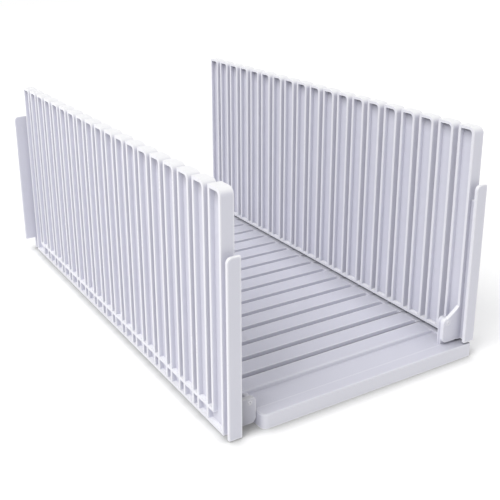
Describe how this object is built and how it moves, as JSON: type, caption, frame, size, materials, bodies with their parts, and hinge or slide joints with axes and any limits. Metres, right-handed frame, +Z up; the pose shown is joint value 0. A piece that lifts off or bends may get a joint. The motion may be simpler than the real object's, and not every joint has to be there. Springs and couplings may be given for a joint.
{
  "type": "bread slicer guide",
  "caption": "Folding bread slicing guide: two tall slotted walls hinged at both ends of a low grooved tray, so that they fold down flat over it",
  "frame": {"origin": "middle of the underside of the box round the whole guide, on the table", "axes": "X across the loaf, Y along it with the slicing end at -Y, Z up"},
  "size_m": [0.1552, 0.273, 0.1226],
  "materials": {
    "wall_plastic": "satin",
    "tray_plastic": "satin",
    "pin_plastic": "fine grain"
  },
  "bodies": {
    "tray": {"base_tray": "tray_plastic", "left_front_pin": "pin_plastic", "left_rear_pin": "pin_plastic", "right_front_pin": "pin_plastic", "right_rear_pin": "pin_plastic"},
    "left_wall": {"left_wall": "wall_plastic"},
    "right_wall": {"right_wall": "wall_plastic"}
  },
  "joints": [
    {"name": "left_fold", "type": "hinge", "parent": "tray", "child": "left_wall", "pos_m": [-0.0571, 0, 0.013], "axis": [0, 1, 0], "range_deg": [0, 90]},
    {"name": "right_fold", "type": "hinge", "parent": "tray", "child": "right_wall", "pos_m": [0.0637, 0, 0.02], "axis": [0, -1, 0], "range_deg": [0, 90]}
  ]
}
